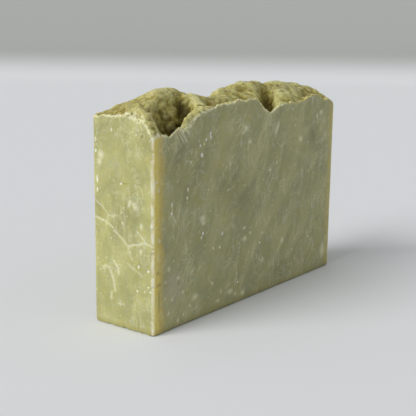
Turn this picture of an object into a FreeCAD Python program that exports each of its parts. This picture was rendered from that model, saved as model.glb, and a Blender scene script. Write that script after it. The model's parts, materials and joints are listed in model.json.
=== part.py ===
"""A hand-cut bar of soap that stands on its base.

The bar is one solid. It is a slice of a loaf of soap: the two large faces are knife cuts, the ends are
the sides of the mould, the base is the floor of the mould, and the top is the rough crust of the pour.

X runs along the bar, Y from the cut face in front to the one behind, and Z up from the base.
"""

import FreeCAD
import Part
import math
import os

# Driving dimensions, in millimetres.
bar_length = 91.0
bar_thickness = 21.2
crust_level = 56.4

end_edge_radius = 1.6
near_edge_radius = 0.9
base_edge_radius = 0.8

# The crust crowns behind the front face, and it comes down to its level again at the left end.
crown_rise = 3.7
crown_run_across = 7.0
crown_run_along = 10.0

# Small lumps lie all over the crust, this high and about this far apart.
lump_rise = 0.4
lump_spacing_along = 4.6
lump_spacing_across = 4.2

# Their rows sway by this many radians, this many times for each lump, so that they don't line up.
sway_along = 1.8
sway_along_turns = 0.56
sway_across = 1.5
sway_across_turns = 0.47
sway_across_start = 0.9

# The crust is a net of flat facets this far across, and the net runs past the bar on every side.
facet_size = 1.25
net_overhang = 2.0 * facet_size


def crown(x, y):
    """The general rise of the crust, x from the left end and y from the front face."""
    across = 1.0 - math.exp(-((y / crown_run_across) ** 2))
    along = 1.0 - math.exp(-((x / crown_run_along) ** 2))
    return crown_rise * across * along


def lumps(x, y):
    """The small lumps of the crust, in rows that sway."""
    turn_along = math.tau * x / lump_spacing_along
    turn_across = math.tau * y / lump_spacing_across
    along = turn_along + sway_along * math.sin(sway_along_turns * turn_across)
    across = turn_across + sway_across * math.sin(sway_across_turns * turn_along + sway_across_start)
    return lump_rise * math.sin(along) * math.sin(across)


def swelling(along, across, rise, half_length, half_width, turn=0.0, steepness=1.0):
    """A rounded hump of the crust, or a hollow where rise is below zero.

    along and across are the place of its centre from the left end and from the front face. The half
    sizes are where it has fallen to about a third, turn is in degrees, and a steepness over 1 gives it
    a flatter middle and steeper sides.
    """
    cosine = math.cos(math.radians(turn))
    sine = math.sin(math.radians(turn))

    def height(x, y):
        right = x - along
        back = y - across
        lengthwise = (right * cosine + back * sine) / half_length
        crosswise = (back * cosine - right * sine) / half_width
        return rise * math.exp(-((lengthwise**2 + crosswise**2) ** steepness))

    return height


def left_swellings():
    """The crater by the near corner and the humps about it, measured from the left end."""
    return [
        # the crust sinks a little towards the left end, and more at its back corner
        swelling(-1.0, 17.0, -0.5, 3.0, 5.0, 0.0, 1.5),
        swelling(4.0, 20.0, -1.0, 4.0, 3.0, 0.0, 1.5),
        # the crater, which turns back as it goes along, and its lobe at the right
        swelling(10.8, 4.7, -8.6, 7.9, 3.3, 8.0, 2.8),
        swelling(19.8, 6.8, -6.0, 3.8, 2.4, 50.0, 2.4),
        # its mouth in the front face, the tooth left in it, and the chipped corner
        swelling(5.0, -0.5, -4.7, 12.0, 2.2, 0.0, 2.4),
        swelling(9.8, -0.5, 1.3, 1.9, 1.8, 0.0, 1.3),
        swelling(0.0, -0.5, -0.9, 2.0, 1.6, 0.0, 1.3),
        # the worn edge of the left end beside that corner
        swelling(-0.6, 3.9, -1.3, 1.6, 4.2, 0.0, 1.5),
        # the rim between the crater and the left end
        swelling(2.7, 7.4, 2.5, 2.0, 6.3, 0.0, 3.0),
        # the crust behind the rim
        swelling(6.5, 14.5, 0.6, 3.0, 3.0, 0.0, 1.5),
        # the great hump behind the crater
        swelling(17.5, 11.4, 2.3, 7.2, 5.0, 12.0, 2.0),
        # the crust behind that hump, which falls to the back face
        swelling(14.5, 22.0, -1.7, 6.0, 3.6, 0.0, 1.5),
        # the fold that comes forward from the hump to the front face
        swelling(24.2, 5.4, 1.6, 5.0, 2.4, 60.0, 1.5),
        # the recess behind the fold
        swelling(28.6, 3.2, -1.8, 2.6, 2.0, 30.0, 1.3),
        # the front lip beyond the fold, higher at its right end
        swelling(32.5, -0.5, 1.9, 9.0, 2.6, 0.0, 2.4),
        swelling(37.0, -0.5, 0.9, 1.8, 2.0, 0.0, 1.3),
        swelling(43.4, -0.5, 2.3, 4.0, 2.6, 0.0, 2.0),
        # the valley behind that lip
        swelling(42.0, 4.4, -2.2, 8.0, 2.2, 0.0, 1.8),
        # the saddle between the great hump and the back ridge
        swelling(42.0, 17.0, -3.8, 10.0, 4.6, 30.0, 1.8),
    ]


def right_swellings():
    """The ridge, the cleft and the humps beyond it, measured back from the right end."""
    end = bar_length
    return [
        # the knob where the back ridge begins, and the ridge
        swelling(end - 46.4, 14.2, 2.7, 3.0, 2.0, 37.0, 1.5),
        swelling(end - 29.5, 14.0, 2.1, 9.0, 5.2, 12.0, 2.0),
        # the cleft, from its mouth in the front face towards the back
        swelling(end - 39.0, -0.5, -1.2, 3.5, 3.0, 0.0, 1.5),
        swelling(end - 31.4, 6.2, -5.0, 8.3, 2.3, 37.0, 1.8),
        # the lump beside the cleft, and the one behind it
        swelling(end - 25.0, 4.4, 2.6, 4.2, 3.2, 10.0, 1.8),
        swelling(end - 17.5, 12.5, 1.8, 3.6, 4.2, 0.0, 1.5),
        # the broad hump towards the right end
        swelling(end - 10.0, 11.0, 1.3, 6.5, 5.5, 0.0, 1.5),
        # the front lip by the right end, and the pit behind it
        swelling(end - 14.0, -0.5, 2.2, 5.0, 2.4, 0.0, 1.3),
        swelling(end - 11.5, 4.2, -1.5, 2.8, 1.9, 20.0, 1.2),
        # the corner that is worn down
        swelling(end + 1.0, -0.5, -2.2, 3.4, 3.4, 0.0, 1.4),
    ]


def evenly(start, length):
    """Places from start over length, no more than a facet apart."""
    gaps = math.ceil(length / facet_size)
    return [start + length * index / gaps for index in range(gaps + 1)]


def crust_net():
    """The points of the crust, in lines that run from the front to the back."""
    swellings = left_swellings() + right_swellings()

    def point(x, y):
        rise = crown(x, y) + lumps(x, y) + sum(height(x, y) for height in swellings)
        return FreeCAD.Vector(x - bar_length / 2.0, y - bar_thickness / 2.0, crust_level + rise)

    along = evenly(-net_overhang, bar_length + 2.0 * net_overhang)
    across = evenly(-net_overhang, bar_thickness + 2.0 * net_overhang)
    return [[point(x, y) for y in across] for x in along]


def flat_face(points):
    """The flat face inside a ring of points."""
    return Part.Face(Part.makePolygon(points + points[:1]))


def crust_facets(net):
    """Two facets in each cell of the net, split along the shorter diagonal."""
    facets = []
    for line, next_line in zip(net[:-1], net[1:]):
        for near, beside, opposite, far in zip(line[:-1], next_line[:-1], next_line[1:], line[1:]):
            if near.distanceToPoint(opposite) < beside.distanceToPoint(far):
                facets.append(flat_face([near, beside, opposite]))
                facets.append(flat_face([near, opposite, far]))
            else:
                facets.append(flat_face([near, beside, far]))
                facets.append(flat_face([beside, opposite, far]))
    return facets


def below_crust(net):
    """A block with the crust on top, larger than the bar on every side and below."""

    def under(point):
        return FreeCAD.Vector(point.x, point.y, -net_overhang)

    walls = []
    front = [line[0] for line in net]
    back = [line[-1] for line in net]
    for top in (net[0], net[-1], front, back):
        walls.append(flat_face([under(top[0])] + top + [under(top[-1])]))
    floor = flat_face([under(net[0][0]), under(net[-1][0]), under(net[-1][-1]), under(net[0][-1])])
    return Part.Solid(Part.Shell(crust_facets(net) + walls + [floor]))


def bar():
    """The slice with its rounded edges, up to the crust."""
    net = crust_net()
    tall = max(point.z for line in net for point in line) + net_overhang
    corner = FreeCAD.Vector(-bar_length / 2.0, -bar_thickness / 2.0, 0.0)
    blank = Part.makeBox(bar_length, bar_thickness, tall, corner)

    def upright(edge, x_side, y_side):
        middle = edge.BoundBox.Center
        return edge.BoundBox.ZLength > tall / 2.0 and middle.x * x_side > 0 and middle.y * y_side > 0

    near = [edge for edge in blank.Edges if upright(edge, -1, -1)]
    blank = blank.makeFillet(near_edge_radius, near)
    others = [
        edge
        for edge in blank.Edges
        if upright(edge, 1, -1) or upright(edge, 1, 1) or upright(edge, -1, 1)
    ]
    blank = blank.makeFillet(end_edge_radius, others)
    lowest = [edge for edge in blank.Edges if edge.BoundBox.ZMax < base_edge_radius / 2.0]
    blank = blank.makeFillet(base_edge_radius, lowest)
    return blank.common(below_crust(net))


def main():
    os.makedirs("parts", exist_ok=True)
    solid = bar().Solids[0]
    solid.exportStep("parts/soap_bar.step")
    box = solid.BoundBox
    print("soap_bar", round(box.XLength, 2), round(box.YLength, 2), round(box.ZLength, 2))
    print("volume, cubic centimetres", round(solid.Volume / 1000.0, 1), "valid", solid.isValid())


main()
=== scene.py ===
"""A hand-cut bar of soap, dressed for a studio picture.

The bar's solid gives its size, its cut faces and the humps and hollows of its crust. Here a copy of that
solid gets the finer relief, which is the crumb of the crust, its ragged edge, and the chips, pits and
cracks of the faces, and then the soap's finish, into which some light and shade are painted.
"""

import json
import math
import random

import bpy
import numpy as np
from mathutils import Matrix, Vector
from mathutils.bvhtree import BVHTree

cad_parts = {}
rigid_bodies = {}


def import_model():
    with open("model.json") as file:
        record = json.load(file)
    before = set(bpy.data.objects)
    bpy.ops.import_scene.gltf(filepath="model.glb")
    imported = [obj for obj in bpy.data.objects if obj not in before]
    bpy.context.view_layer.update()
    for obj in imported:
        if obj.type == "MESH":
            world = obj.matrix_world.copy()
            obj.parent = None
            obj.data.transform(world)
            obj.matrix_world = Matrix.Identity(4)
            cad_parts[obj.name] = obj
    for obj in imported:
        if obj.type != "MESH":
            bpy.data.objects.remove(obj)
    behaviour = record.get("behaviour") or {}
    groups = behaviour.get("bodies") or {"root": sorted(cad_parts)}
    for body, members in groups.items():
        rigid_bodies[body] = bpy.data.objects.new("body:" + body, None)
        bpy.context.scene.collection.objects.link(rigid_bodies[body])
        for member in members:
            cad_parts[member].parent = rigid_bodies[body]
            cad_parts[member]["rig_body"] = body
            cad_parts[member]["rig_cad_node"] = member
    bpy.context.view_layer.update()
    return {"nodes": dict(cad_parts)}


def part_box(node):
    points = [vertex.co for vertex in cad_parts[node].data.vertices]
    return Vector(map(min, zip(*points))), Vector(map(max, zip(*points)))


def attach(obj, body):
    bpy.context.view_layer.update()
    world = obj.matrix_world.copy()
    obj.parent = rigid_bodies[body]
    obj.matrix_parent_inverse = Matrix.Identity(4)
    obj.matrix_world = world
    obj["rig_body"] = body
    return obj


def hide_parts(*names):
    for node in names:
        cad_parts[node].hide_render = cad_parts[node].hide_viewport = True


bl_info = {
    "name": "Bar of soap",
    "version": (1, 0, 0),
    "blender": (4, 5, 0),
    "location": "3D View > Sidebar > Soap",
    "description": "Models the relief and the finish of a hand-cut bar of soap, and its stage",
    "category": "Object",
}

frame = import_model()
bar_low, bar_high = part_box("soap_bar")

MM = 0.001

# To find how much of the sky the bar hides from a point of the crust, which the finish paints as shade,
# the point looks up at the sky this many ways and this far, from a little above the surface. Each way is
# turned this much from the one before it.
sky_samples = 20
sky_reach = 14.0 * MM
sky_lift = 0.15 * MM
sky_turn = math.radians(137.5)

# The finish is told how far below the crust a point is up to this many millimetres, and how hollow the
# bar is there against a mesh smoothed this many times, for the creases and for the broad hollows.
deepest_told = 8.0
crease_rounds = 8
hollow_rounds = 70

# Points of the solid's mesh that are closer than this are one point.
same_point = 0.002 * MM

# A point belongs to a face wholly when it is less than the second distance inside it, and not at all
# beyond the first. The pits keep closer to the face.
face_skin = (0.6 * MM, 0.3 * MM)
pit_skin = (0.3 * MM, 0.1 * MM)

# A point is finished as crust when it is this near to the solid's crust and this far from the faces, or
# when it touches that crust.
crust_skin = (1.7 * MM, 1.2 * MM)
clear_of_faces = (0.12 * MM, 0.4 * MM)
touching_crust = (0.3 * MM, 0.1 * MM)

# The relief of the crust: each height as a share of the lumps' height, below zero where the middle of a
# lump stands out, each size as a share of the lumps' size, and the rounds of smoothing.
lump_share = -0.7
fold_share = 1.2
fold_spread = 1.6
small_lump_share = -0.4
small_lump_spread = 0.5
facet_rounds = 22
lump_rounds = 2

# The relief of the faces: the long waves of the knife, the rubble of the crumbled patch, how deep the
# marks go, and how high the wisps stand.
knife_wave_height = 0.18 * MM
knife_wave_length = 9.0 * MM
rubble_height = 0.4 * MM
rubble_size = 1.0 * MM
bite_depth = 0.35 * MM
nick_depth = 0.24 * MM
pit_depth = 0.5 * MM
flake_depth = 0.45 * MM
crack_depth = 0.25 * MM
wisp_height = 0.12 * MM

# How many chips each edge has lost, the half length of the longest, and what their draws start from.
near_edge_bites = 44
upright_edge_bites = 16
base_edge_bites = 14
longest_upright_bite = 0.8 * MM
longest_base_bite = 0.9 * MM
upright_seed = 11
base_seed = 31

# How many small pits the front and back face and each end have, between which heights in millimetres,
# and what their draws start from.
front_pits = 80
back_pits = 90
end_pits = 26
pitted_heights = (1.5, 52.0)
pit_seed = 5

# Half widths of the listed lines, in millimetres. A wisp stands out over a wider strip than its colour.
crack_half_width = 0.40
scratch_half_width = 0.34
wisp_half_width = 0.75
raised_wisp_half_width = 0.85

# Places on the front face are (from the left end, height), and on the left end (from the front face,
# height), all in millimetres. A mark is its place, half height, half width and lean in degrees.

# White nicks in the front face, where a crumb is torn out.
front_nicks = [
    (23.7, 50.0, 1.20, 0.42, -8.0),
    (19.9, 45.1, 0.80, 0.60, 15.0),
    (21.7, 49.0, 0.55, 0.45, 30.0),
    (20.8, 48.1, 0.40, 0.40, 0.0),
    (19.2, 47.7, 0.50, 0.42, 40.0),
    (14.0, 36.7, 0.85, 0.30, 0.0),
    (13.8, 34.5, 0.50, 0.40, 0.0),
    (1.6, 40.1, 0.70, 0.28, 5.0),
    (7.5, 33.6, 0.75, 0.28, 8.0),
    (7.4, 31.3, 0.45, 0.60, 0.0),
    (20.7, 23.7, 0.60, 0.48, 0.0),
    (20.0, 22.7, 0.55, 0.45, 20.0),
    (29.5, 22.1, 0.65, 0.45, 0.0),
    (28.5, 18.4, 0.60, 0.42, 0.0),
    (25.5, 18.6, 0.55, 0.38, -20.0),
    (48.5, 15.8, 0.45, 0.45, 0.0),
    (37.3, 6.1, 0.60, 0.40, 0.0),
]

# Pale flecks on the front face.
front_flecks = [
    (20.4, 27.9, 0.90, 1.20, 0.0),
    (20.7, 26.6, 0.50, 0.90, 0.0),
    (40.4, 18.6, 0.80, 1.00, 0.0),
    (40.1, 21.9, 0.45, 0.80, 0.0),
    (43.0, 19.9, 0.40, 0.60, 20.0),
    (60.6, 14.3, 0.95, 0.90, 30.0),
    (49.9, 10.4, 0.90, 0.60, 0.0),
    (17.3, 6.7, 0.90, 1.30, 0.0),
    (16.0, 14.2, 0.75, 0.30, 40.0),
    (33.5, 4.3, 0.80, 1.20, 0.0),
    (39.8, 2.5, 0.90, 1.10, 0.0),
    (27.6, 3.1, 0.35, 1.00, 0.0),
    (86.1, 6.0, 2.60, 1.50, 0.0),
    (40.0, 50.6, 0.90, 1.10, 0.0),
    (38.6, 49.6, 0.50, 0.60, 0.0),
    (42.0, 46.8, 0.50, 0.80, 0.0),
    (56.2, 49.6, 2.20, 0.70, 30.0),
    (69.8, 45.1, 0.90, 1.20, 0.0),
    (52.9, 37.2, 0.50, 0.60, 0.0),
    (81.9, 52.6, 0.60, 0.90, 0.0),
    (79.6, 51.4, 1.00, 0.50, 0.0),
    (6.2, 16.9, 0.60, 0.40, 10.0),
    (10.0, 13.7, 0.40, 0.60, 0.0),
    (5.0, 13.2, 0.70, 0.35, 0.0),
    (12.0, 9.4, 0.45, 0.55, 30.0),
    (7.5, 8.3, 0.50, 0.40, 0.0),
    (15.0, 4.8, 0.40, 0.50, 0.0),
    (12.5, 3.1, 0.45, 0.40, 0.0),
    (6.2, 4.8, 0.60, 0.45, 20.0),
    (10.0, 1.9, 0.35, 0.50, 0.0),
    (25.0, 8.7, 0.45, 0.55, 0.0),
    (29.0, 5.4, 0.55, 0.45, 0.0),
    (36.0, 3.0, 0.40, 0.60, 0.0),
]

# Brown stains on the front face, and a grey bloom that lies over it low down by the near edge.
front_stains = [
    (2.3, 13.5, 0.45, 0.95, 0.0),
    (5.1, 12.8, 0.55, 0.90, 0.0),
    (10.3, 12.3, 0.80, 0.40, 0.0),
    (1.9, 16.8, 0.60, 0.50, 0.0),
    (2.3, 9.2, 2.60, 0.30, 0.0),
]
front_haze = [(8.2, 11.6, 4.60, 4.20, 0.0)]

# Painted shade on the front face, in patches where less light falls.
front_painted_shade = [
    (13.0, 43.0, 8.00, 9.00, 0.0),
    (61.0, 4.5, 3.60, 8.00, -8.0),
    (36.0, 33.0, 5.00, 9.00, 30.0),
    (78.0, 46.0, 6.00, 3.00, 0.0),
]

# Darker and lighter patches of the crust: from the left end, from the front face, half sizes across and
# along, and lean. The darker ones are painted shade with browner soap in places, the lighter ones
# painted light where the crust is lit.
crust_shade_and_stains = [
    (4.2, 12.5, 9.50, 4.60, 0.0),
    (29.5, 5.0, 2.80, 2.80, 0.0),
    (47.5, 8.0, 3.00, 1.80, 0.0),
    (53.5, 12.0, 2.60, 1.50, 0.0),
    (59.6, 6.2, 2.60, 8.00, -37.0),
    (61.5, 13.5, 3.50, 1.60, 0.0),
    (71.5, 7.0, 2.00, 1.60, 0.0),
    (80.0, 5.0, 1.60, 2.20, 0.0),
    (82.0, 15.0, 3.00, 4.00, 0.0),
]
crust_painted_lights = [
    (24.0, 5.4, 1.60, 4.50, -60.0),
    (18.0, 12.0, 3.00, 5.00, 0.0),
    (50.5, 12.5, 3.00, 1.00, 0.0),
    (57.0, 13.5, 3.00, 1.10, 0.0),
    (65.8, 4.2, 2.60, 2.20, 0.0),
    (76.0, 8.5, 5.00, 7.00, 0.0),
]

# The crust is crumbly up to the first of these places from the left end and smoother beyond the second,
# and its front lip is crisp up to the first of the next two and worn round beyond the second.
crumbly_until = (27.0, 33.0)
crisp_until = (60.0, 67.0)

# Thin pale scratches on the front face, each a chain of places.
front_scratches = [
    [(7.4, 31.3), (6.1, 30.2)],
    [(7.4, 31.3), (9.0, 28.8)],
    [(7.4, 31.3), (7.7, 34.4)],
]

# Where the lip beside the crater's mouth is torn into fine strokes, and how those lean.
torn_lip = [(11.6, 51.6, 2.3, 3.4, 0.0)]
torn_lean = math.radians(-38.0)

# Nicks, flecks, a stain and darker patches on the left end.
end_nicks = [
    (14.0, 52.5, 0.60, 0.28, 0.0),
    (19.8, 49.6, 0.60, 0.50, 0.0),
    (19.7, 46.6, 0.50, 0.40, 0.0),
    (19.3, 39.2, 1.20, 0.36, 0.0),
    (19.3, 36.4, 0.80, 0.32, 0.0),
    (10.8, 38.9, 0.38, 0.50, 20.0),
    (5.0, 17.9, 0.55, 0.38, 0.0),
    (1.7, 17.3, 0.40, 0.45, 0.0),
    (5.5, 11.4, 0.45, 0.38, 0.0),
    (1.7, 13.0, 0.35, 0.35, 0.0),
    (1.1, 11.9, 0.40, 0.38, 0.0),
]
end_flecks = [
    (17.8, 45.7, 1.20, 1.10, 0.0),
    (18.4, 43.9, 1.00, 0.80, 0.0),
    (7.9, 34.1, 0.50, 0.90, 60.0),
    (6.2, 33.6, 0.70, 1.10, -60.0),
    (4.2, 22.0, 0.80, 0.50, 0.0),
    (3.9, 28.6, 0.90, 0.40, 0.0),
]
end_stains = [(9.5, 39.1, 0.28, 1.20, 0.0)]
end_dark_patches = [
    (10.5, 31.0, 5.50, 6.50, 20.0),
    (13.0, 51.5, 4.00, 6.00, 0.0),
    (5.0, 42.0, 3.00, 4.00, 0.0),
]

# Cracks in the left end, and faint scratches and wisps on it, each a chain of places.
end_cracks = [
    [(20.6, 29.2), (16.1, 28.2), (14.4, 27.4), (12.3, 25.6), (10.4, 24.4), (8.7, 22.8), (7.7, 21.2)],
    [(8.7, 22.8), (7.0, 23.4), (5.0, 23.8), (2.9, 24.7), (1.6, 24.2), (0.0, 24.3)],
    [(5.4, 27.1), (4.3, 26.2), (2.9, 25.1)],
    [(20.6, 33.8), (17.6, 31.9), (15.8, 30.3), (15.9, 28.1)],
]
end_scratches = [
    [(15.5, 30.0), (12.0, 30.4)],
    [(9.0, 18.3), (6.3, 17.1), (3.6, 15.6)],
    [(7.7, 21.2), (7.0, 19.4)],
    [(12.2, 6.7), (9.9, 6.9)],
    [(11.5, 7.7), (11.4, 6.2)],
]
end_wisps = [
    [(17.4, 15.4), (16.4, 16.3), (15.0, 16.0), (13.7, 13.2), (13.1, 10.0)],
    [(13.4, 18.0), (12.0, 16.5), (11.8, 14.8)],
    [(14.4, 9.4), (14.5, 7.7)],
]

# The flake that is lost from the left end by its back edge, and the crumbled patch at its near top
# corner with a pit in it, both anticlockwise as seen from that end's side.
lost_flake = [(22.0, 29.4), (15.9, 28.1), (15.8, 30.3), (17.6, 31.9), (22.0, 34.4)]
crumbled_patch = [(8.0, 58.5), (7.2, 50.6), (3.7, 49.6), (-0.6, 50.8), (-0.6, 58.5)]
crumbled_pit = (3.4, 51.5, 0.55, 0.75, 0.0)


class SoapRelief(bpy.types.PropertyGroup):
    """Sizes of the relief that is modelled on the bar."""

    step: bpy.props.FloatProperty(
        name="Mesh step",
        description="Distance between the points of the mesh that the relief is pressed into",
        default=0.3 * MM,
        unit="LENGTH",
        precision=5,
    )
    triangles: bpy.props.IntProperty(
        name="Triangles",
        description="How many triangles the finished bar keeps",
        default=186000,
    )
    lump_size: bpy.props.FloatProperty(
        name="Lump size",
        description="Width of the rounded lumps of the crust",
        default=3.0 * MM,
        unit="LENGTH",
        precision=5,
    )
    lump_height: bpy.props.FloatProperty(
        name="Lump height",
        description="About how far those lumps stand above the creases between them",
        default=0.80 * MM,
        unit="LENGTH",
        precision=5,
    )
    crumb_size: bpy.props.FloatProperty(
        name="Crumb size",
        description="Width of the crumbs on the crust",
        default=1.1 * MM,
        unit="LENGTH",
        precision=5,
    )
    crumb_height: bpy.props.FloatProperty(
        name="Crumb height",
        description="How far the crumbs stand out",
        default=0.22 * MM,
        unit="LENGTH",
        precision=5,
    )
    tooth_size: bpy.props.FloatProperty(
        name="Tooth size",
        description="Width of the teeth along the edge of the crust",
        default=1.0 * MM,
        unit="LENGTH",
        precision=5,
    )
    tooth_height: bpy.props.FloatProperty(
        name="Tooth height",
        description="Height of those teeth, from the lowest to the highest",
        default=0.9 * MM,
        unit="LENGTH",
        precision=5,
    )


class SoapFinish(bpy.types.PropertyGroup):
    """Colours of the soap, and of the light and shade painted on it."""

    paste: bpy.props.FloatVectorProperty(
        name="Paste",
        description="Colour of the soap on its ends, which lay against the mould",
        default=(0.47, 0.455, 0.205),
        size=3,
        subtype="COLOR",
    )
    # On the front face, which the key light does not reach, this greyer, cooler colour is partly painted
    # shade.
    cut_paste_with_shade: bpy.props.FloatVectorProperty(
        name="Cut paste",
        description="Colour of the soap on its cut faces, which have dried greyer",
        default=(0.425, 0.412, 0.222),
        size=3,
        subtype="COLOR",
    )
    bloom: bpy.props.FloatVectorProperty(
        name="Bloom",
        description="Colour of the pale, dry soap on worn edges and scratches",
        default=(0.80, 0.79, 0.55),
        size=3,
        subtype="COLOR",
    )
    nick: bpy.props.FloatVectorProperty(
        name="Nick",
        description="Colour of the white crumbs in fresh nicks",
        default=(0.92, 0.92, 0.80),
        size=3,
        subtype="COLOR",
    )
    # Painted light: this colour stands in for light that comes through the corner, and the next for
    # where it fades.
    painted_glow: bpy.props.FloatVectorProperty(
        name="Amber",
        description="Colour of the cut faces along the ends, where light comes through the corner",
        default=(0.78, 0.66, 0.18),
        size=3,
        subtype="COLOR",
    )
    painted_glow_band: bpy.props.FloatVectorProperty(
        name="Amber band",
        description="Colour of the browner band where the amber ends",
        default=(0.58, 0.42, 0.12),
        size=3,
        subtype="COLOR",
    )
    cool: bpy.props.FloatVectorProperty(
        name="Cool",
        description="Colour of the cool patches in the paste",
        default=(0.44, 0.48, 0.33),
        size=3,
        subtype="COLOR",
    )
    haze: bpy.props.FloatVectorProperty(
        name="Haze",
        description="Colour of the grey bloom low down by the near edge",
        default=(0.50, 0.47, 0.33),
        size=3,
        subtype="COLOR",
    )
    rind: bpy.props.FloatVectorProperty(
        name="Rind",
        description="Colour of the crust, and of warm patches in the paste",
        default=(0.43, 0.39, 0.125),
        size=3,
        subtype="COLOR",
    )
    # Also the painted light on the crust's lit patches.
    crumb_and_painted_light: bpy.props.FloatVectorProperty(
        name="Crumb",
        description="Colour of the tips of the crust's lumps",
        default=(0.63, 0.61, 0.30),
        size=3,
        subtype="COLOR",
    )
    # Also the painted shade in the crust's creases, hollows and darker patches.
    oil_and_shade: bpy.props.FloatVectorProperty(
        name="Oil",
        description="Colour of the darker soap in creases and stains",
        default=(0.25, 0.19, 0.03),
        size=3,
        subtype="COLOR",
    )
    # Painted shade: the crust turns to this colour where the bar hides most of the sky from it.
    painted_hollow_shade: bpy.props.FloatVectorProperty(
        name="Depths",
        description="Colour of the crust at the bottom of its deepest hollows",
        default=(0.075, 0.052, 0.004),
        size=3,
        subtype="COLOR",
    )
    glow_depth: bpy.props.FloatProperty(
        name="Glow depth",
        description="How far light wanders inside the soap",
        default=1.1 * MM,
        unit="LENGTH",
        precision=5,
    )


class SoapStage(bpy.types.PropertyGroup):
    """The floor, the backdrop and the light."""

    floor: bpy.props.FloatVectorProperty(
        name="Floor",
        description="Colour of the floor",
        default=(0.84, 0.85, 0.87),
        size=3,
        subtype="COLOR",
    )
    backdrop: bpy.props.FloatVectorProperty(
        name="Backdrop",
        description="Colour of the backdrop above the floor",
        default=(0.43, 0.44, 0.42),
        size=3,
        subtype="COLOR",
    )
    key: bpy.props.FloatProperty(
        name="Key light",
        description="Strength of the soft light from the left",
        default=2.2,
    )
    fill: bpy.props.FloatProperty(
        name="Fill light",
        description="Strength of the light from all round",
        default=0.38,
    )


# Meshes


def make_active(piece):
    """Selects this piece alone."""
    bpy.ops.object.select_all(action="DESELECT")
    piece.select_set(True)
    bpy.context.view_layer.objects.active = piece


def apply_modifier(piece, modifier):
    """Applies a modifier of the piece."""
    make_active(piece)
    bpy.ops.object.modifier_apply(modifier=modifier.name)


def copied_bar(name):
    """A copy of the bar's solid as one closed mesh."""
    make_active(frame["nodes"]["soap_bar"])
    bpy.ops.object.duplicate()
    piece = bpy.context.object
    bpy.ops.object.parent_clear(type="CLEAR_KEEP_TRANSFORM")
    del piece["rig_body"]
    del piece["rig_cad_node"]
    piece.name = name
    piece.data.name = name
    bpy.ops.object.mode_set(mode="EDIT")
    bpy.ops.mesh.select_all(action="SELECT")
    bpy.ops.mesh.remove_doubles(threshold=same_point)
    bpy.ops.object.mode_set(mode="OBJECT")
    return piece


def remeshed(piece, step):
    """The piece with an even mesh."""
    modifier = piece.modifiers.new("even mesh", "REMESH")
    modifier.mode = "VOXEL"
    modifier.voxel_size = step
    apply_modifier(piece, modifier)


def thinned(piece, triangles, kept):
    """The piece with fewer triangles, most of them kept where it is rough and in a zone."""
    modifier = piece.modifiers.new("thinned", "DECIMATE")
    modifier.ratio = triangles / sum(len(face.vertices) - 2 for face in piece.data.polygons)
    modifier.use_collapse_triangulate = True
    modifier.vertex_group = kept
    modifier.invert_vertex_group = True
    apply_modifier(piece, modifier)


def points_of(piece):
    """The mesh's points and their normals."""
    count = len(piece.data.vertices)
    points = np.empty(count * 3, np.float32)
    normals = np.empty(count * 3, np.float32)
    piece.data.vertices.foreach_get("co", points)
    piece.data.vertices.foreach_get("normal", normals)
    return points.reshape(-1, 3).astype(float), normals.reshape(-1, 3).astype(float)


def smooth_step(low, high, values):
    """0 at low, 1 at high, which may be the smaller, and a smooth change between them."""
    share = np.clip((values - low) / (high - low), 0.0, 1.0)
    return share * share * (3.0 - 2.0 * share)


def zone(piece, name, weights):
    """A vertex group with these weights, one for each point of the mesh."""
    group = piece.vertex_groups.new(name=name)
    for index in np.flatnonzero(weights > 0.002):
        group.add([int(index)], float(weights[index]), "REPLACE")
    return name


def pushed(piece, group, distance, texture=None, direction="NORMAL"):
    """The piece with a zone moved by distance, evenly, or as a texture says, half of it each way."""
    modifier = piece.modifiers.new("relief", "DISPLACE")
    modifier.vertex_group = group
    modifier.direction = direction
    modifier.strength = distance
    modifier.mid_level = 0.0
    if texture:
        modifier.texture = texture
        modifier.texture_coords = "LOCAL"
        modifier.mid_level = 0.5
    apply_modifier(piece, modifier)


def softened(piece, group, rounds):
    """The piece with a zone smoothed."""
    modifier = piece.modifiers.new("softened", "SMOOTH")
    modifier.vertex_group = group
    modifier.factor = 0.5
    modifier.iterations = rounds
    apply_modifier(piece, modifier)


def cloudy(name, size, depth=2):
    """A texture of soft noise."""
    texture = bpy.data.textures.new(name, "CLOUDS")
    texture.noise_scale = size
    texture.noise_depth = depth
    return texture


def cellular(name, size):
    """A texture of rounded cells, lowest in the middle of each."""
    texture = bpy.data.textures.new(name, "VORONOI")
    texture.noise_scale = size
    texture.distance_metric = "DISTANCE_SQUARED"
    return texture


# Where things are on the bar


class CrustFinder:
    """Tells how far a point is from the crust, by the facets of the bar's solid that face up."""

    def __init__(self, solid):
        corners = [vertex.co.copy() for vertex in solid.data.vertices]
        facets = [list(face.vertices) for face in solid.data.polygons if face.normal.z > 0.01]
        self.tree = BVHTree.FromPolygons(corners, facets)

    def distances(self, points):
        """How far each point is from the nearest of those facets."""
        return np.array([self.tree.find_nearest(Vector(point))[3] for point in points])


def inset(points):
    """How far points are from the nearest of the four upright faces, inwards."""
    sides = [
        points[:, 0] - bar_low.x,
        bar_high.x - points[:, 0],
        points[:, 1] - bar_low.y,
        bar_high.y - points[:, 1],
    ]
    return np.min(sides, axis=0)


def on_front(points):
    """1 on the front face, 0 elsewhere."""
    return smooth_step(*face_skin, points[:, 1] - bar_low.y)


def on_left_end(points):
    """1 on the left end, 0 elsewhere."""
    return smooth_step(*face_skin, points[:, 0] - bar_low.x)


def front_place(points):
    """Places on the front face in millimetres: from the left end, and height."""
    return (points[:, 0] - bar_low.x) / MM, points[:, 2] / MM


def end_place(points):
    """Places on the left end in millimetres: from the front face, and height."""
    return (points[:, 1] - bar_low.y) / MM, points[:, 2] / MM


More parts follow.
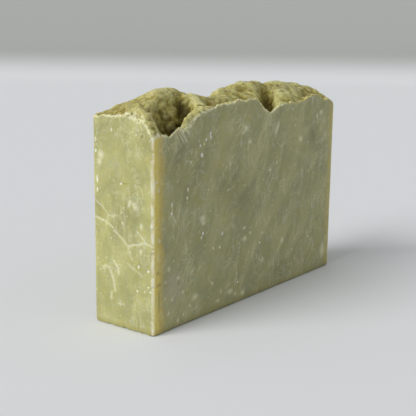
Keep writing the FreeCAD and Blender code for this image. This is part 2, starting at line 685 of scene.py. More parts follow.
def spot(place, centre, half_height, half_width, lean):
    """1 in the middle of a leaning oval on a face, and 0 outside it."""
    along = place[0] - centre[0]
    up = place[1] - centre[1]
    cosine = math.cos(math.radians(lean))
    sine = math.sin(math.radians(lean))
    wide = (along * cosine - up * sine) / half_width
    tall = (up * cosine + along * sine) / half_height
    return np.exp(-((wide**2 + tall**2) ** 1.5))


def chain(place, line, half_width):
    """1 along a chain of points on a face, and 0 away from it."""
    nearest = np.full(len(place[0]), np.inf)
    here = np.stack(place, axis=1)
    for start, end in zip(line[:-1], line[1:]):
        start = np.array(start)
        run = np.array(end) - start
        share = np.clip((here - start) @ run / (run @ run), 0.0, 1.0)
        gap = here - start - share[:, None] * run
        nearest = np.minimum(nearest, np.hypot(gap[:, 0], gap[:, 1]))
    return smooth_step(half_width, 0.0, nearest)


def inside(place, corners, soft):
    """1 inside a ring of corners on a face, 0 outside, with a soft rim."""
    depth = np.full(len(place[0]), np.inf)
    for start, end in zip(corners, corners[1:] + corners[:1]):
        along = end[0] - start[0]
        up = end[1] - start[1]
        side = (place[0] - start[0]) * up - (place[1] - start[1]) * along
        depth = np.minimum(depth, side / math.hypot(along, up))
    return smooth_step(0.0, soft, depth)


def bites(points, start, end, count, longest, seed):
    """1 where small chips are gone from a straight edge, and 0 elsewhere."""
    draw = random.Random(seed)
    start = np.array(start)
    run = np.array(end) - start
    length = np.linalg.norm(run)
    run = run / length
    along = (points - start) @ run
    away = np.linalg.norm(points - start - along[:, None] * run, axis=1)
    found = np.zeros(len(points))
    for _ in range(count):
        middle = draw.uniform(0.0, length)
        half = draw.uniform(0.25, 1.0) ** 2 * longest
        deep = draw.uniform(0.4, 1.0)
        reach = draw.uniform(0.7, 1.2) * MM
        bite = np.exp(-(((along - middle) / half) ** 4)) * smooth_step(reach, 0.3 * reach, away)
        found = np.maximum(found, deep * bite)
    return found


def upright_edges():
    """The ends of the four upright edges, the near one first."""
    top = bar_high.z
    corners = [
        (bar_low.x, bar_low.y),
        (bar_low.x, bar_high.y),
        (bar_high.x, bar_low.y),
        (bar_high.x, bar_high.y),
    ]
    return [((x, y, 0.0), (x, y, top)) for x, y in corners]


def base_edges():
    """The ends of the four lower edges."""
    corners = [
        (bar_low.x, bar_low.y, 0.0),
        (bar_high.x, bar_low.y, 0.0),
        (bar_high.x, bar_high.y, 0.0),
        (bar_low.x, bar_high.y, 0.0),
    ]
    return list(zip(corners, corners[1:] + corners[:1]))


def edge_bites(points):
    """1 where chips are gone from the upright and lower edges, the most of them from the near edge."""
    found = np.zeros(len(points))
    for number, (start, end) in enumerate(upright_edges()):
        count = near_edge_bites if number == 0 else upright_edge_bites
        bitten = bites(points, start, end, count, longest_upright_bite, upright_seed + number)
        found = np.maximum(found, bitten)
    for number, (start, end) in enumerate(base_edges()):
        bitten = bites(points, start, end, base_edge_bites, longest_base_bite, base_seed + number)
        found = np.maximum(found, 0.7 * bitten)
    return found


def marks(points, front_list, end_list):
    """1 in the middle of each listed mark of the front face and of the left end."""
    found = np.zeros(len(points))
    for face, place, listed in (
        (on_front(points), front_place(points), front_list),
        (on_left_end(points), end_place(points), end_list),
    ):
        for along, height, half_height, half_width, lean in listed:
            mark = spot(place, (along, height), half_height, half_width, lean)
            found = np.maximum(found, face * mark)
    return found


def patches(points, listed):
    """1 in the middle of each listed patch of the crust, as seen from above."""
    plan = ((points[:, 0] - bar_low.x) / MM, (points[:, 1] - bar_low.y) / MM)
    found = np.zeros(len(points))
    for along, across, half_across, half_along, lean in listed:
        found = np.maximum(found, spot(plan, (along, across), half_across, half_along, lean))
    return found


def lines(points, front_list, end_list, half_width):
    """1 along each listed line of the front face and of the left end."""
    found = np.zeros(len(points))
    for face, place, listed in (
        (on_front(points), front_place(points), front_list),
        (on_left_end(points), end_place(points), end_list),
    ):
        chosen = np.flatnonzero(face > 0.0)
        there = (place[0][chosen], place[1][chosen])
        for line in listed:
            found[chosen] = np.maximum(found[chosen], face[chosen] * chain(there, line, half_width))
    return found


def scattered_pits(points):
    """Small pits all over the upright faces, as shares of the pits' full depth."""
    draw = random.Random(pit_seed)
    faces = [
        (points[:, 1] - bar_low.y, 0, bar_low.x, bar_high.x, front_pits),
        (bar_high.y - points[:, 1], 0, bar_low.x, bar_high.x, back_pits),
        (points[:, 0] - bar_low.x, 1, bar_low.y, bar_high.y, end_pits),
        (bar_high.x - points[:, 0], 1, bar_low.y, bar_high.y, end_pits),
    ]
    found = np.zeros(len(points))
    for inwards, axis, low, high, count in faces:
        face = smooth_step(*pit_skin, inwards)
        chosen = np.flatnonzero(face > 0.0)
        place = (points[chosen, axis] / MM, points[chosen, 2] / MM)
        for _ in range(count):
            centre = (draw.uniform(low, high) / MM, draw.uniform(*pitted_heights))
            half = draw.uniform(0.25, 0.45)
            depth = draw.uniform(0.15, 0.4)
            pit = spot(place, centre, half * draw.uniform(1.0, 1.8), half, draw.uniform(-30.0, 30.0))
            found[chosen] = np.maximum(found[chosen], face[chosen] * pit * depth)
    return found


def flake(points):
    """1 inside the flake that is lost from the left end."""
    return inside(end_place(points), lost_flake, 0.5) * on_left_end(points)


def crumbled(points):
    """1 inside the crumbled patch of the left end."""
    near = smooth_step(1.0 * MM, 0.5 * MM, points[:, 0] - bar_low.x)
    return inside(end_place(points), crumbled_patch, 1.4) * near


def nicks(points):
    """1 in the nicks of the front face and of the left end."""
    return marks(points, front_nicks, end_nicks)


def pale_marks(points):
    """1 along the cracks, and less in the flecks and along the scratches and wisps."""
    found = 0.8 * marks(points, front_flecks, end_flecks)
    found = np.maximum(found, 0.85 * lines(points, [], end_cracks, crack_half_width))
    scratches = lines(points, front_scratches, end_scratches, scratch_half_width)
    found = np.maximum(found, 0.6 * scratches)
    return np.maximum(found, 0.6 * lines(points, [], end_wisps, wisp_half_width))


def brown_marks(points):
    """1 in the stains, and less in the lost flake and the pit of the crumbled patch."""
    found = marks(points, front_stains, end_stains + [crumbled_pit])
    return np.maximum(found, 0.6 * flake(points))


def hollowness(piece, rounds):
    """How deep each point lies in a hollow, or below zero how far it stands out, in millimetres."""
    points, normals = points_of(piece)
    edges = np.empty(len(piece.data.edges) * 2, np.int32)
    piece.data.edges.foreach_get("vertices", edges)
    first, second = edges.reshape(-1, 2).T
    count = len(points)
    neighbours = np.bincount(first, minlength=count) + np.bincount(second, minlength=count)
    smooth = points.copy()
    for _ in range(rounds):
        total = np.zeros_like(smooth)
        for axis in range(3):
            total[:, axis] = np.bincount(first, smooth[second, axis], count)
            total[:, axis] += np.bincount(second, smooth[first, axis], count)
        smooth = total / neighbours[:, None]
    return np.einsum("ij,ij->i", smooth - points, normals) / MM


def sky_shade(piece, chosen, reach):
    """How much of the sky the bar itself hides from each chosen point, within reach."""
    points, normals = points_of(piece)
    corners = [vertex.co.copy() for vertex in piece.data.vertices]
    tree = BVHTree.FromPolygons(corners, [list(face.vertices) for face in piece.data.polygons])
    ways = []
    for number in range(sky_samples):
        rise = (number + 0.5) / sky_samples
        turn = number * sky_turn
        flat = math.sqrt(1.0 - rise * rise)
        ways.append(Vector((flat * math.cos(turn), flat * math.sin(turn), rise)))
    found = np.zeros(len(points))
    for index in chosen:
        start = Vector(points[index] + sky_lift * normals[index])
        hidden = sum(1 for way in ways if tree.ray_cast(start, way, reach)[0] is not None)
        found[index] = hidden / sky_samples
    return found


def record_attribute(piece, name, values):
    """Keeps a number for each point in the mesh, for the finish to read."""
    attribute = piece.data.attributes.new(name, "FLOAT", "POINT")
    attribute.data.foreach_set("value", values.astype(np.float32))


# The bar


def on_crust(points, distance):
    """1 on the crust, 0 on the faces, by the distance from the solid's crust."""
    clear = smooth_step(*clear_of_faces, inset(points))
    touching = smooth_step(*touching_crust, distance)
    return smooth_step(*crust_skin, distance) * np.maximum(clear, touching)


def model_crust(piece, relief, finder):
    """Rounds off the solid's facets, and gives the crust its lumps, crumbs and ragged edge."""
    points, _ = points_of(piece)
    distance = finder.distances(points)
    along, _ = front_place(points)
    away = smooth_step(0.1 * MM, 1.0 * MM, inset(points))
    top = smooth_step(0.35 * MM, 0.15 * MM, distance) * away
    crust = zone(piece, "crust", top)
    crumbly = zone(piece, "crumbly", top * (1.0 - 0.65 * smooth_step(*crumbly_until, along)))
    outer = smooth_step(2.4 * MM, 0.4 * MM, inset(points))
    crisp = 1.0 - 0.7 * smooth_step(*crisp_until, along)
    rim = zone(piece, "rim", smooth_step(1.6 * MM, 0.2 * MM, distance) * outer * crisp)
    lumps = cellular("lumps", relief.lump_size)
    folds = cloudy("folds", fold_spread * relief.lump_size)
    small_lumps = cellular("small lumps", small_lump_spread * relief.lump_size)
    softened(piece, crust, facet_rounds)
    pushed(piece, crust, lump_share * relief.lump_height, lumps)
    pushed(piece, crust, fold_share * relief.lump_height, folds)
    pushed(piece, crumbly, small_lump_share * relief.lump_height, small_lumps)
    softened(piece, crust, lump_rounds)
    pushed(piece, rim, relief.tooth_height, cloudy("teeth", relief.tooth_size), "Z")
    pushed(piece, crumbly, relief.crumb_height, cloudy("crumbs", relief.crumb_size, 3))


def model_faces(piece):
    """Gives the cut faces and the ends their waves, chips, pits and cracks."""
    points, _ = points_of(piece)
    everywhere = zone(piece, "everywhere", np.ones(len(points)))
    rubble = zone(piece, "crumbled", crumbled(points))
    pushed(piece, everywhere, knife_wave_height, cloudy("knife waves", knife_wave_length))
    pushed(piece, zone(piece, "bites", edge_bites(points)), -bite_depth)
    pushed(piece, rubble, rubble_height, cloudy("rubble", rubble_size))
    pushed(piece, zone(piece, "nicks", nicks(points)), -nick_depth)
    pushed(piece, zone(piece, "small pits", scattered_pits(points)), -pit_depth)
    pushed(piece, zone(piece, "flake", flake(points)), -flake_depth)
    cracks = lines(points, [], end_cracks, crack_half_width)
    pushed(piece, zone(piece, "cracks", cracks), -crack_depth)
    wisps = lines(points, [], end_wisps, raised_wisp_half_width)
    pushed(piece, zone(piece, "wisps", wisps), wisp_height)


def marked(piece):
    """A zone of all that is marked on the faces, which keeps its fine mesh."""
    points, _ = points_of(piece)
    found = np.maximum(nicks(points), pale_marks(points))
    found = np.maximum(found, brown_marks(points))
    return zone(piece, "marked", smooth_step(0.02, 0.2, np.maximum(found, crumbled(points))))


def record_wear(piece, finder):
    """Keeps in the mesh where it is crust, hollow, shaded from the sky, chipped and marked, and where
    shade and light are painted.
    """
    points, _ = points_of(piece)
    distance = finder.distances(points)
    crust = on_crust(points, distance)
    record_attribute(piece, "crust", crust)
    record_attribute(piece, "depth", np.minimum(distance / MM, deepest_told))
    record_attribute(piece, "crease", hollowness(piece, crease_rounds))
    record_attribute(piece, "hollow", hollowness(piece, hollow_rounds))
    record_attribute(piece, "sky_shade", sky_shade(piece, np.flatnonzero(crust > 0.02), sky_reach))
    record_attribute(piece, "chipped", edge_bites(points))
    record_attribute(piece, "nicked", nicks(points))
    record_attribute(piece, "pitted", scattered_pits(points))
    record_attribute(piece, "pale", pale_marks(points))
    record_attribute(piece, "brown", brown_marks(points))
    record_attribute(piece, "crumbled", crumbled(points))
    record_attribute(piece, "hazed", marks(points, front_haze, []))
    record_attribute(piece, "torn", marks(points, torn_lip, []))
    record_attribute(piece, "clouds_and_shade", marks(points, front_painted_shade, end_dark_patches))
    record_attribute(piece, "shaded_and_browned", patches(points, crust_shade_and_stains))
    record_attribute(piece, "painted_light_patches", patches(points, crust_painted_lights))


# The finish

# Sizes of the patterns in the soap of the faces.
cloud_size = 6.0 * MM
warm_patch_size = 5.0 * MM
cool_patch_size = 3.6 * MM
marbling_size = 4.2 * MM
veined_area_size = 7.0 * MM
knife_streak_width = 1.1 * MM
freckled_area_size = 3.2 * MM
uneven_area_size = 1.6 * MM
freckle_spacing = 0.9 * MM
dot_spacing = 2.9 * MM
face_grain_size = 0.5 * MM

# How the clouds and the cool patches are drawn out, and how they lean on the cut faces.
cloud_stretch = (1.0, 1.0, 2.4)
cloud_lean = math.radians(38.0)
cool_patch_stretch = (1.0, 1.0, 2.0)
cool_patch_lean = math.radians(-55.0)

# The painted glow, an orange colour that stands in for light coming through the corner, fades between
# these distances from the end, and its browner rim lies where it fades.
# Both wander by up to the last length, in waves of the one before it.
painted_glow_fade = (6.4 * MM, 3.0 * MM)
painted_band_rise = (3.0 * MM, 4.4 * MM)
painted_band_fade = (6.2 * MM, 4.8 * MM)
painted_glow_wave_length = 3.0 * MM
painted_glow_wander = 3.0 * MM

# Sizes of the patterns on the crust and in the wear.
blotch_size = 2.2 * MM
brown_streak_size = 2.6 * MM
crust_grain_size = 0.7 * MM
ragged_size = 0.7 * MM
rubble_speck_size = 0.8 * MM
torn_stroke_width = 0.42 * MM
speckle_size = 0.5 * MM

# The white line of the upright edges fades between these sums of the distances from both faces. It
# wanders by up to the last length, and is as much wider where the edge is chipped.
corner_fade = (1.14 * MM, 0.82 * MM)
corner_wander = 0.5 * MM

# Shades that the colours are multiplied by, the darkest and the lightest where there are two.
cloud_shades = ((0.84, 0.85, 0.86), (1.12, 1.11, 1.06))
# Painted shade on the front face, and darker patches on the left end, are multiplied by this.
shade_and_patch_tone = (0.82, 0.82, 0.80)
face_grain_shades = ((0.86, 0.86, 0.84), (1.12, 1.12, 1.13))
crust_grain_shades = ((0.66, 0.62, 0.50), (1.22, 1.22, 1.24))

# The soap is glossiest at the first roughness and dullest at the second.
roughness_range = (0.48, 0.66)


class NodeBoard:
    """Adds nodes to a material, and joins each to what it reads."""

    def __init__(self, material):
        self.tree = material.node_tree

    def add(self, kind, inputs, output=0, **options):
        """One output of a new node, whose inputs are numbers, colours or other nodes' outputs."""
        node = self.tree.nodes.new(kind)
        for name, value in options.items():
            setattr(node, name, value)
        for name, value in inputs.items():
            if isinstance(value, bpy.types.NodeSocket):
                self.tree.links.new(value, node.inputs[name])
            else:
                node.inputs[name].default_value = value
        return node.outputs[output]

    def attribute(self, name):
        """A number that is kept in the mesh for each point."""
        return self.add("ShaderNodeAttribute", {}, "Fac", attribute_name=name)

    def maths(self, operation, first, second=0.0):
        """What a Math node makes of one or two numbers."""
        return self.add("ShaderNodeMath", {0: first, 1: second}, operation=operation)

    def along(self, place, axis):
        """One of a place's three numbers."""
        return self.add("ShaderNodeSeparateXYZ", {"Vector": place}, axis)

    def step(self, value, low, high):
        """0 at low, 1 at high, which may be the smaller, and a smooth change between them."""
        inputs = {"Value": value, "From Min": low, "From Max": high}
        return self.add("ShaderNodeMapRange", inputs, interpolation_type="SMOOTHSTEP")

    def noise(self, place, size, detail=2.0, roughness=0.5, swirl=0.0):
        """Soft noise from 0 to 1 with features of about this size, which a swirl draws out."""
        inputs = {"Vector": place, "Scale": 1.0 / size, "Detail": detail, "Roughness": roughness}
        inputs["Distortion"] = swirl
        return self.add("ShaderNodeTexNoise", inputs, "Fac")

    def cells(self, place, size):
        """The distance from the middle of the nearest of many cells, as a share of their size."""
        return self.add("ShaderNodeTexVoronoi", {"Vector": place, "Scale": 1.0 / size}, "Distance")

    def stretched(self, place, scale, turn=(0.0, 0.0, 0.0)):
        """Turned places, in which a pattern comes out this many times as long each way."""
        inputs = {"Vector": place, "Scale": scale, "Rotation": turn}
        return self.add("ShaderNodeMapping", inputs, vector_type="TEXTURE")

    def shares(self, *values):
        """Shares multiplied together."""
        product = values[0]
        for value in values[1:]:
            product = self.maths("MULTIPLY", product, value)
        return product

    def largest(self, *values):
        """The largest of several shares."""
        found = values[0]
        for value in values[1:]:
            found = self.maths("MAXIMUM", found, value)
        return found

    def rest(self, share):
        """What a share leaves of 1."""
        return self.maths("SUBTRACT", 1.0, share)

    def at_least(self, low, share):
        """A share brought to between low and 1."""
        return self.maths("ADD", self.maths("MULTIPLY", share, 1.0 - low), low)

    def mix(self, share, first, second, blend="MIX"):
        """Two colours mixed."""
        node = self.tree.nodes.new("ShaderNodeMix")
        node.data_type = "RGBA"
        node.blend_type = blend
        for index, value in ((0, share), (6, first), (7, second)):
            if isinstance(value, bpy.types.NodeSocket):
                self.tree.links.new(value, node.inputs[index])
            elif index == 0:
                node.inputs[index].default_value = value
            else:
                node.inputs[index].default_value = (*value[:3], 1.0)
        return node.outputs[2]

    def tinted(self, colour, other, *shares):
        """A colour with as much of another in it as these shares multiplied together."""
        return self.mix(self.shares(*shares), colour, other)

    def shaded(self, colour, shade, share=1.0):
        """A colour times a shade, or part of the way there."""
        return self.mix(share, colour, shade, "MULTIPLY")


def darker(colour, share):
    """A colour times a share."""
    return tuple(channel * share for channel in colour)


def from_nearer(board, place, axis, low, high):
    """How far inside the nearer of two opposite faces a point is."""
    along = board.along(place, axis)
    from_low = board.maths("SUBTRACT", along, low)
    from_high = board.maths("SUBTRACT", high, along)
    return board.maths("MINIMUM", from_low, from_high)


def beyond_middle(board, place, axis):
    """1 in the right half of the bar for X or the back half for Y, 0 in the other."""
    return board.step(board.along(place, axis), -1.0 * MM, 1.0 * MM)


def leaning_places(board, place):
    """Places in which the clouds and the marbling come out drawn out and leaning."""
    return board.stretched(place, cloud_stretch, (0.0, cloud_lean, 0.0))


def clouds_and_shade(board, place, colour, finish):
    """The paste's light and dark clouds, its warm and cool patches, the painted shade on the front face
    and darker patches on the left end.
    """
    clouds = board.noise(leaning_places(board, place), cloud_size, 4.0, 0.6, 0.7)
    shade = board.mix(board.step(clouds, 0.3, 0.7), *cloud_shades)
    colour = board.shaded(colour, shade)
    # Painted shade on the front face, and darker patches on the left end.
    colour = board.shaded(colour, shade_and_patch_tone, board.shares(board.attribute("clouds_and_shade"), 0.9))
    warm = board.step(board.noise(place, warm_patch_size, 3.0, 0.6, 0.5), 0.5, 0.72)
    colour = board.tinted(colour, finish.rind, warm, 0.42)
    leaning_back = board.stretched(place, cool_patch_stretch, (0.0, cool_patch_lean, 0.0))
    cool = board.step(board.noise(leaning_back, cool_patch_size, 3.0, 0.6, 0.9), 0.54, 0.74)
    return board.tinted(colour, finish.cool, cool, 0.45)


def with_painted_glow(board, place, colour, cut, from_end, finish):
    """Painted light along the ends of the cut faces, where light comes through the corner: an orange
    tint with a browner rim where it fades, fainter at the right and behind.
    """
    wander = board.maths("MULTIPLY", board.noise(place, painted_glow_wave_length, 3.0, 0.6), painted_glow_wander)
    reach = board.maths("ADD", from_end, wander)
    faint_at_right = board.rest(board.shares(beyond_middle(board, place, "X"), 0.60))
    faint_behind = board.rest(board.shares(beyond_middle(board, place, "Y"), 0.55))
    strength = board.shares(cut, faint_at_right, faint_behind)
    painted_glow_share = board.step(reach, *painted_glow_fade)
    colour = board.tinted(colour, finish.painted_glow, painted_glow_share, strength, 0.92)
    painted_band_share = board.shares(board.step(reach, *painted_band_rise), board.step(reach, *painted_band_fade))
    return board.tinted(colour, finish.painted_glow_band, painted_band_share, strength, 0.4)


def marbled(board, place, colour, finish):
    """Thin veins and upright knife streaks, each in parts of the faces only."""
    marble = board.noise(leaning_places(board, place), marbling_size, 4.0, 0.55, 1.5)
    vein = board.step(board.maths("ABSOLUTE", board.maths("SUBTRACT", marble, 0.5)), 0.045, 0.0)
    area = board.step(board.noise(place, veined_area_size), 0.4, 0.62)
    colour = board.tinted(colour, finish.bloom, vein, area, 0.30)
    upright = board.stretched(place, (1.0, 1.0, 7.0))
    streak = board.step(board.noise(upright, knife_streak_width, 3.0, 0.6), 0.48, 0.8)
    return board.tinted(colour, finish.bloom, streak, area, 0.34)


def freckled(board, place, colour, finish):
    """Freckles, larger dots and a fine grain."""
    area = board.step(board.noise(place, freckled_area_size, 2.0, 0.6), 0.45, 0.68)
    area = board.largest(area, board.attribute("hazed"))
    uneven = board.noise(place, uneven_area_size)
    freckle = board.step(board.cells(place, freckle_spacing), board.shares(uneven, 0.62), 0.10)
    colour = board.tinted(colour, finish.bloom, freckle, area, 0.5)
    dot = board.step(board.cells(place, dot_spacing), board.shares(uneven, 0.26), 0.05)
    colour = board.tinted(colour, finish.bloom, dot, area, 0.6)
    grain = board.mix(board.noise(place, face_grain_size, 2.0, 0.6), *face_grain_shades)
    return board.shaded(colour, grain)


def paste_colour(board, place, from_end, finish):
    """The soap on the cut faces and the ends, with the light and shade painted on them."""
    normal = board.add("ShaderNodeNewGeometry", {}, "Normal")
    cut = board.step(board.maths("ABSOLUTE", board.along(normal, "Y")), 0.45, 0.9)
    # The front and back faces take the greyer colour, partly painted shade on the front.
    colour = board.tinted(finish.paste, finish.cut_paste_with_shade, cut)
    colour = clouds_and_shade(board, place, colour, finish)
    colour = with_painted_glow(board, place, colour, cut, from_end, finish)
    colour = marbled(board, place, colour, finish)
    colour = freckled(board, place, colour, finish)
    # Darker towards the bottom, within about two millimetres of the floor.
    low_down = board.step(board.along(place, "Z"), 2.4 * MM, 0.4 * MM)
    colour = board.tinted(colour, darker(finish.rind, 0.7), low_down, 0.45)
    return board.tinted(colour, finish.haze, board.attribute("hazed"), 0.6)


def crust_colour(board, place, finish):
    """The crust: yellow-brown lumps with pale tips, creases darkened by oil and painted shade, patches
    of painted light and shade, and painted shade in its deepest hollows.
    """
    crease = board.attribute("crease")
    hollow = board.attribute("hollow")
    blotch = board.step(board.noise(place, blotch_size, 3.0, 0.65), 0.35, 0.68)
    colour = board.tinted(darker(finish.rind, 0.85), darker(finish.rind, 1.32), blotch)
    run_down = board.stretched(place, (1.0, 1.0, 2.0))
    streak = board.step(board.noise(run_down, brown_streak_size, 4.0, 0.65, 1.2), 0.48, 0.64)
    colour = board.tinted(colour, finish.oil_and_shade, streak, 0.5)
    # Painted light on the lit patches of the crust.
    colour = board.tinted(colour, finish.crumb_and_painted_light, board.attribute("painted_light_patches"), 0.7)
    # Paler on the lumps' tips; darker in creases and hollows, as oilier soap and painted shade.
    colour = board.tinted(colour, finish.crumb_and_painted_light, board.step(crease, 0.0, -0.08), 0.5)
    colour = board.tinted(colour, finish.crumb_and_painted_light, board.step(hollow, 0.1, -0.6), 0.5)
    colour = board.tinted(colour, finish.oil_and_shade, board.step(crease, 0.0, 0.08), 0.65)
    colour = board.tinted(colour, finish.oil_and_shade, board.step(hollow, 0.2, 1.2), 0.45)
    # Painted shade, with browner soap in places, on the darker patches of the crust.
    colour = board.tinted(colour, finish.oil_and_shade, board.attribute("shaded_and_browned"), 0.5)
    grain = board.step(board.noise(place, crust_grain_size, 3.0, 0.7), 0.25, 0.75)
    colour = board.shaded(colour, board.mix(grain, *crust_grain_shades))
    # Painted shade where the bar hides most of the sky from the crust.
    deep = board.step(board.attribute("sky_shade"), 0.48, 0.78)
    return board.tinted(colour, finish.painted_hollow_shade, deep, 0.92)


def pale_wear(board, place, from_side):
    """How pale the wear is: the crust's ragged lip, chips, pits, rubble, torn strokes and marks."""
    ragged = board.step(board.noise(place, ragged_size, 2.0, 0.6), 0.36, 0.52)
    at_lip = board.step(board.attribute("depth"), 0.6, 0.2)
    at_side = board.step(from_side, 0.6 * MM, 0.2 * MM)
    from_left = board.maths("SUBTRACT", board.along(place, "X"), bar_low.x)
    crisp = board.step(from_left, crisp_until[1] * MM, crisp_until[0] * MM)
    rubble = board.step(board.noise(place, rubble_speck_size, 3.0, 0.65), 0.52, 0.62)
    stroke_place = board.stretched(place, (1.0, 1.0, 9.0), (0.0, torn_lean, 0.0))
    stroke = board.step(board.noise(stroke_place, torn_stroke_width, 1.0), 0.5, 0.66)
    return board.largest(
        board.shares(at_lip, at_side, crisp, ragged, 0.85),
        board.shares(board.step(board.attribute("chipped"), 0.3, 0.7), ragged, 0.7),
        board.shares(board.step(board.attribute("pitted"), 0.1, 0.25), 0.7),
        board.shares(board.attribute("crumbled"), rubble, 0.52),
        board.shares(board.attribute("torn"), stroke, 0.95),
        board.attribute("pale"),
    )


def corner_line(board, place, from_end, from_face):
    """How white the broken line along the upright edges is."""
    upright = board.stretched(place, (1.0, 1.0, 3.5))
    broken = board.at_least(0.3, board.step(board.noise(upright, 1.0 * MM, 4.0, 0.7), 0.30, 0.62))
    uneven = board.maths("MULTIPLY", board.noise(upright, 0.8 * MM, 3.0, 0.7), corner_wander)
    chipped = board.maths("MULTIPLY", board.attribute("chipped"), corner_wander)
    apart = board.maths("ADD", board.maths("ADD", from_end, from_face), uneven)
    line = board.step(board.maths("SUBTRACT", apart, chipped), *corner_fade)
    return board.shares(line, broken, 0.74)


def soap_colour(board, place, finish):
    """The whole bar's colour, with its wear and its marks."""
    from_end = from_nearer(board, place, "X", bar_low.x, bar_high.x)
    from_face = from_nearer(board, place, "Y", bar_low.y, bar_high.y)
    colour = paste_colour(board, place, from_end, finish)
    colour = board.tinted(colour, crust_colour(board, place, finish), board.attribute("crust"))
    worn = pale_wear(board, place, board.maths("MINIMUM", from_end, from_face))
    speckled = board.step(board.noise(place, speckle_size, 2.0, 0.6), 0.25, 0.6)
    colour = board.tinted(colour, finish.bloom, worn, board.at_least(0.5, speckled))
    colour = board.tinted(colour, finish.oil_and_shade, board.attribute("brown"), 0.5)
    colour = board.tinted(colour, finish.nick, corner_line(board, place, from_end, from_face))
    nicked = board.shares(board.attribute("nicked"), board.at_least(0.3, speckled))
    return board.tinted(colour, finish.nick, board.step(nicked, 0.25, 0.7), 0.9)


def soap_bump(board, place):
    """The soap's finest grain, too small for the mesh."""
    crust = board.attribute("crust")
    grain = board.shares(board.noise(place, 0.4 * MM, 3.0, 0.65), 0.8)
    upright = board.stretched(place, (1.0, 1.0, 8.0))
    drag = board.shares(board.noise(upright, 0.9 * MM, 2.0, 0.6), board.rest(crust), 0.6)
    crumbs = board.shares(board.noise(place, 0.9 * MM, 4.0, 0.7), crust, 2.0)
    height = board.maths("ADD", board.maths("ADD", grain, drag), crumbs)
    inputs = {"Strength": 0.4, "Distance": 0.15 * MM, "Height": height}
    return board.add("ShaderNodeBump", inputs)


def soap_material(finish):
    """Translucent soap with a dull sheen."""
    material = bpy.data.materials.new("soap")
    material.use_nodes = True
    board = NodeBoard(material)
    shader = material.node_tree.nodes["Principled BSDF"]
    place = board.add("ShaderNodeTexCoord", {}, "Object")
    links = material.node_tree.links
    links.new(soap_colour(board, place, finish), shader.inputs["Base Color"])
    links.new(soap_bump(board, place), shader.inputs["Normal"])
    dull = board.step(board.noise(place, 2.0 * MM, 3.0), 0.2, 0.8)
    inputs = {"Value": dull, "To Min": roughness_range[0], "To Max": roughness_range[1]}
    links.new(board.add("ShaderNodeMapRange", inputs), shader.inputs["Roughness"])
    shader.inputs["IOR"].default_value = 1.45
    shader.inputs["Specular IOR Level"].default_value = 0.3
    shader.inputs["Subsurface Weight"].default_value = 1.0
    shader.inputs["Subsurface Radius"].default_value = (1.0, 0.75, 0.25)
    shader.inputs["Subsurface Scale"].default_value = finish.glow_depth
    return material


class SOAP_OT_bar(bpy.types.Operator):
    """Model the bar of soap, with its crust, its worn faces and its finish"""

    bl_idname = "soap.bar"
    bl_label = "Bar of soap"

    def execute(self, context):
        relief = context.scene.soap_relief
        finder = CrustFinder(frame["nodes"]["soap_bar"])
        piece = copied_bar("soap")
        remeshed(piece, relief.step)
        model_crust(piece, relief, finder)
        model_faces(piece)
        thinned(piece, relief.triangles, marked(piece))
        piece.vertex_groups.clear()
        record_wear(piece, finder)
        make_active(piece)
        bpy.ops.object.shade_smooth()
        piece.data.materials.clear()
        piece.data.materials.append(soap_material(context.scene.soap_finish))
        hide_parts("soap_bar")
        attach(piece, "root")
        return {"FINISHED"}


# The stage

# The camera: where it stands, how it turns, tips and rolls, and its lens and sensor in millimetres.
camera_place = Vector((-197.7, -143.62, 75.94)) * MM
camera_turn = math.radians(52.73)
camera_tip = math.radians(11.70)
camera_roll = math.radians(0.678)
camera_lens = 71.8
sensor_width = 36.0

# The way that the key light travels, the angle that its source covers, and the colour of the fill.
key_travel = Vector((0.80, -0.25, -0.55))
key_spread = math.radians(42.0)
fill_colour = (0.97, 0.99, 1.0, 1.0)

# The floor runs back this far, and further every other way. At its back a round sweep leads up into the
# backdrop, and the floor's colour turns into the backdrop's over this height.
floor_reach = 1.6
open_reach = 8.0
backdrop_height = 1.6
sweep_radius = 0.5
backdrop_blend = 0.05


def stage_material(stage):
    """Matt paper, which turns from the floor's colour to the backdrop's as it rises."""
    material = bpy.data.materials.new("studio paper")
    material.use_nodes = True
    board = NodeBoard(material)
    shader = material.node_tree.nodes["Principled BSDF"]
    place = board.add("ShaderNodeTexCoord", {}, "Object")
    risen = board.step(board.along(place, "Z"), 0.0, backdrop_blend)
    colour = board.mix(risen, tuple(stage.floor), tuple(stage.backdrop))
    material.node_tree.links.new(colour, shader.inputs["Base Color"])
    shader.inputs["Roughness"].default_value = 0.9
    shader.inputs["Specular IOR Level"].default_value = 0.1
    return material


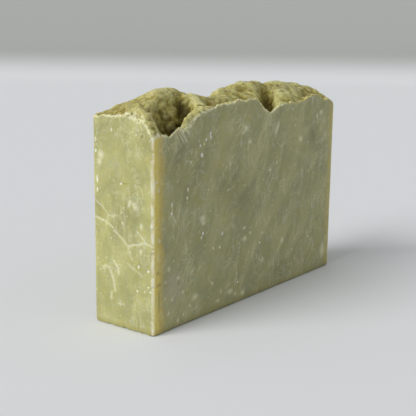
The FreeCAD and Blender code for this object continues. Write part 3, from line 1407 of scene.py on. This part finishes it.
def build_floor(stage):
    """A floor that sweeps up into a backdrop, across the camera's view."""
    bpy.ops.object.select_all(action="DESELECT")
    middle = (floor_reach - open_reach) / 2.0
    back = 0.9 * floor_reach
    bpy.ops.mesh.primitive_plane_add(size=2.0, location=(0.0, middle, 0.0))
    floor = bpy.context.object
    floor.name = "floor"
    floor.scale = (open_reach, (floor_reach + open_reach) / 2.0, 1.0)
    bpy.ops.object.transform_apply(location=True, rotation=False, scale=True)
    bpy.ops.object.mode_set(mode="EDIT")
    bpy.ops.mesh.select_mode(type="EDGE")
    bpy.ops.mesh.select_all(action="DESELECT")
    bpy.ops.object.mode_set(mode="OBJECT")
    for edge in floor.data.edges:
        ends = [floor.data.vertices[index].co for index in edge.vertices]
        edge.select = all(end.y > back for end in ends)
    bpy.ops.object.mode_set(mode="EDIT")
    bpy.ops.mesh.extrude_region_move(TRANSFORM_OT_translate={"value": (0.0, 0.0, backdrop_height)})
    bpy.ops.mesh.select_all(action="DESELECT")
    bpy.ops.object.mode_set(mode="OBJECT")
    for edge in floor.data.edges:
        ends = [floor.data.vertices[index].co for index in edge.vertices]
        edge.select = all(end.y > back and abs(end.z) < sweep_radius for end in ends)
    bpy.ops.object.mode_set(mode="EDIT")
    bpy.ops.mesh.bevel(offset=sweep_radius, segments=16, affect="EDGES")
    bpy.ops.object.mode_set(mode="OBJECT")
    floor.data.transform(Matrix.Rotation(-camera_turn, 4, "Z"))
    bpy.ops.object.shade_smooth()
    floor.data.materials.append(stage_material(stage))


def build_lights(scene, stage):
    """A soft key light from the left, and fill from all round."""
    key = bpy.data.objects.new("key light", bpy.data.lights.new("key light", "SUN"))
    key.data.energy = stage.key
    key.data.angle = key_spread
    key.rotation_mode = "QUATERNION"
    key.rotation_quaternion = key_travel.to_track_quat("-Z", "Y")
    scene.collection.objects.link(key)
    world = bpy.data.worlds.new("studio")
    world.use_nodes = True
    background = world.node_tree.nodes["Background"]
    background.inputs["Color"].default_value = fill_colour
    background.inputs["Strength"].default_value = stage.fill
    scene.world = world


def build_camera(scene):
    """The camera at the picture's viewing angle."""
    camera = bpy.data.objects.new("camera", bpy.data.cameras.new("camera"))
    level = Vector((math.sin(camera_turn), math.cos(camera_turn), 0.0))
    ahead = level * math.cos(camera_tip) - Vector((0.0, 0.0, math.sin(camera_tip)))
    right = ahead.cross(Vector((0.0, 0.0, 1.0))).normalized()
    up = right.cross(ahead)
    rolled_right = math.cos(camera_roll) * right + math.sin(camera_roll) * up
    rolled_up = math.cos(camera_roll) * up - math.sin(camera_roll) * right
    turned = Matrix((rolled_right, rolled_up, -ahead)).transposed()
    camera.matrix_world = Matrix.Translation(camera_place) @ turned.to_4x4()
    camera.data.lens = camera_lens
    camera.data.sensor_width = sensor_width
    camera.data.clip_start = 1.0 * MM
    scene.collection.objects.link(camera)
    scene.camera = camera


class SOAP_OT_stage(bpy.types.Operator):
    """Set up the floor, the backdrop, the light and the camera"""

    bl_idname = "soap.stage"
    bl_label = "Stage"

    def execute(self, context):
        scene = context.scene
        build_floor(scene.soap_stage)
        build_lights(scene, scene.soap_stage)
        build_camera(scene)
        scene.view_settings.view_transform = "Standard"
        return {"FINISHED"}


class SOAP_PT_panel(bpy.types.Panel):
    """The soap's pieces and their settings"""

    bl_idname = "SOAP_PT_panel"
    bl_label = "Bar of soap"
    bl_space_type = "VIEW_3D"
    bl_region_type = "UI"
    bl_category = "Soap"

    def draw(self, context):
        scene = context.scene
        for groups, operator in (
            ((scene.soap_relief, scene.soap_finish), SOAP_OT_bar),
            ((scene.soap_stage,), SOAP_OT_stage),
        ):
            for group in groups:
                for name in group.__annotations__:
                    self.layout.prop(group, name)
            self.layout.operator(operator.bl_idname)


classes = (SoapRelief, SoapFinish, SoapStage, SOAP_OT_bar, SOAP_OT_stage, SOAP_PT_panel)
setting_groups = {"soap_relief": SoapRelief, "soap_finish": SoapFinish, "soap_stage": SoapStage}


def register():
    for kind in classes:
        bpy.utils.register_class(kind)
    for name, kind in setting_groups.items():
        setattr(bpy.types.Scene, name, bpy.props.PointerProperty(type=kind))


def unregister():
    for name in setting_groups:
        delattr(bpy.types.Scene, name)
    for kind in reversed(classes):
        bpy.utils.unregister_class(kind)


def main():
    register()
    bpy.ops.soap.stage()
    bpy.ops.soap.bar()


if __name__ == "__main__":
    main()
